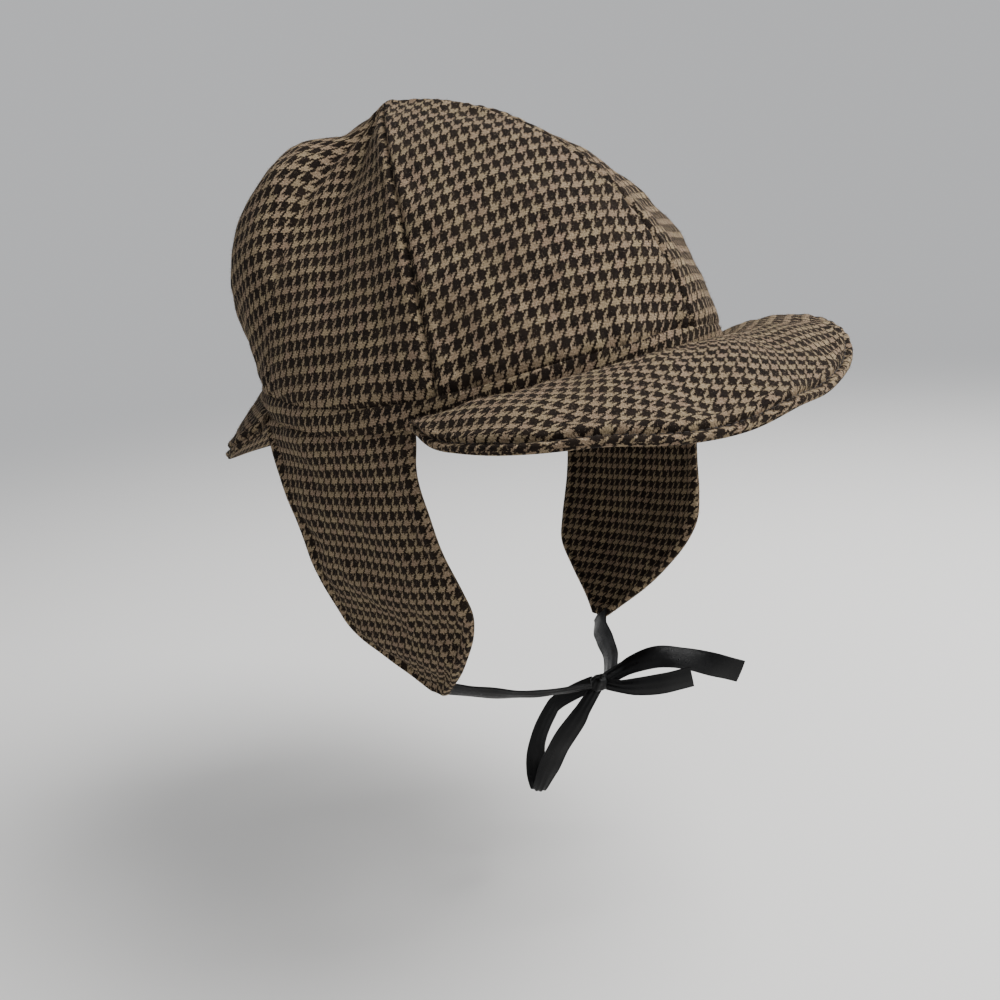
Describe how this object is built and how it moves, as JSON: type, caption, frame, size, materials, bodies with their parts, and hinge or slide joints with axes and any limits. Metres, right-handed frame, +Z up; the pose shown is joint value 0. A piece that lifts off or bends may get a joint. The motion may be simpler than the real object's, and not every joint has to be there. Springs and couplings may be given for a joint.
{
  "type": "deerstalker hat",
  "caption": "Tweed deerstalker hat with a soft gored crown, padded front and back peaks and ear flaps tied under the chin with satin ribbon.",
  "frame": {"origin": "centre of the head opening, level with the lower edge of the band at the sides", "axes": "+Z up along the hat's own axis, -Y towards the front peak, -X towards the wearer's right"},
  "size_m": [0.1924, 0.2852, 0.3007],
  "materials": {
    "tweed": "brushed houndstooth wool",
    "satin_ribbon": "satin"
  },
  "bodies": {
    "root": {"gore_front_right": "tweed", "gore_front_left": "tweed", "gore_side_right": "tweed", "gore_side_left": "tweed", "gore_back_right": "tweed", "gore_back_left": "tweed", "band": "tweed", "front_peak": "tweed", "back_peak": "tweed", "ear_flap_right": "tweed", "ear_flap_left": "tweed", "tie_ribbon_right": "satin_ribbon", "tie_ribbon_left": "satin_ribbon", "bow_knot": "satin_ribbon", "bow_loop": "satin_ribbon", "bow_tail_long": "satin_ribbon", "bow_tail_short": "satin_ribbon"}
  },
  "joints": []
}
